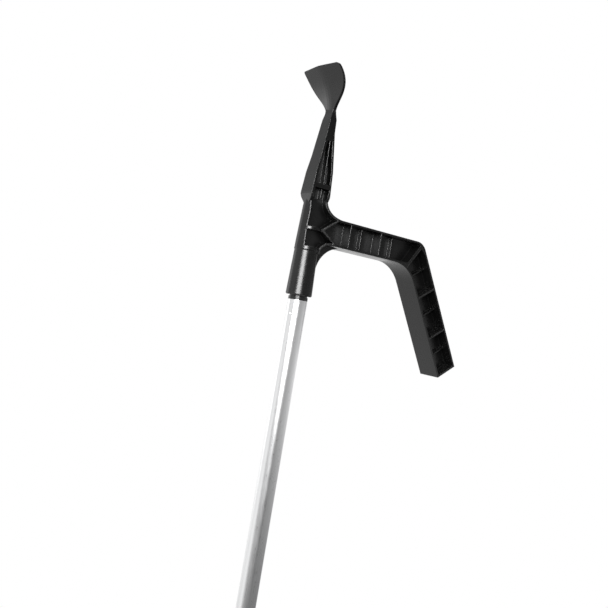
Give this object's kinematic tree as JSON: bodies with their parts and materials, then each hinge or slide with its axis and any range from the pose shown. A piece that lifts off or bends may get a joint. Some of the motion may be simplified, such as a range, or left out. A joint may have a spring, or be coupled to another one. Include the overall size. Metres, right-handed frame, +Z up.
{
  "type": "reaching pole with hook head",
  "caption": "Telescopic aluminium reaching pole with a rigid black moulded head: curved fan blade on top, ribbed hook arm at the side, twist clamp, hand grip and hanging eye.",
  "frame": {"origin": "centre of the hanging hole in the end cap", "axes": "+Z up the pole to the blade, +X from the pole to the hook, +Y along the hanging hole"},
  "size_m": [0.278, 0.0636, 1.2442],
  "materials": {
    "head_plastic": "semi-gloss moulded black",
    "plug_plastic": "satin moulded black",
    "tube_aluminium": "satin drawn and clear anodised",
    "pale_acetal": "natural acetal",
    "ring_rubber": "soft",
    "lock_plastic": "fine texture",
    "rivet_metal": "plain",
    "grip_rubber": "matt, grooved"
  },
  "bodies": {
    "lower": {"outer_tube": "tube_aluminium", "grip": "grip_rubber", "end_cap": "plug_plastic", "lock_body": "lock_plastic", "collet": "pale_acetal", "rivets": "rivet_metal"},
    "upper": {"inner_tube": "tube_aluminium", "tip_plug": "plug_plastic", "head": "head_plastic", "guide_bush": "plug_plastic", "slide_ring": "pale_acetal"},
    "wiper": {"wiper_ring": "ring_rubber"},
    "nut": {"lock_nut": "lock_plastic"}
  },
  "joints": [
    {"name": "pole_extend", "type": "slide", "parent": "lower", "child": "upper", "axis": [0, 0, 1], "range_m": [-0.36, 0.1]},
    {"name": "nut_rise", "type": "slide", "parent": "lower", "child": "wiper", "axis": [0, 0, 1], "range_m": [0, 0.00125]},
    {"name": "nut_turn", "type": "hinge", "parent": "wiper", "child": "nut", "pos_m": [0, 0, 0.59], "axis": [0, 0, 1], "range_deg": [0, 150.01]}
  ],
  "couplings": [
    {"joint": "nut_turn", "follows": "nut_rise", "rad_per_m": 2094.4}
  ]
}
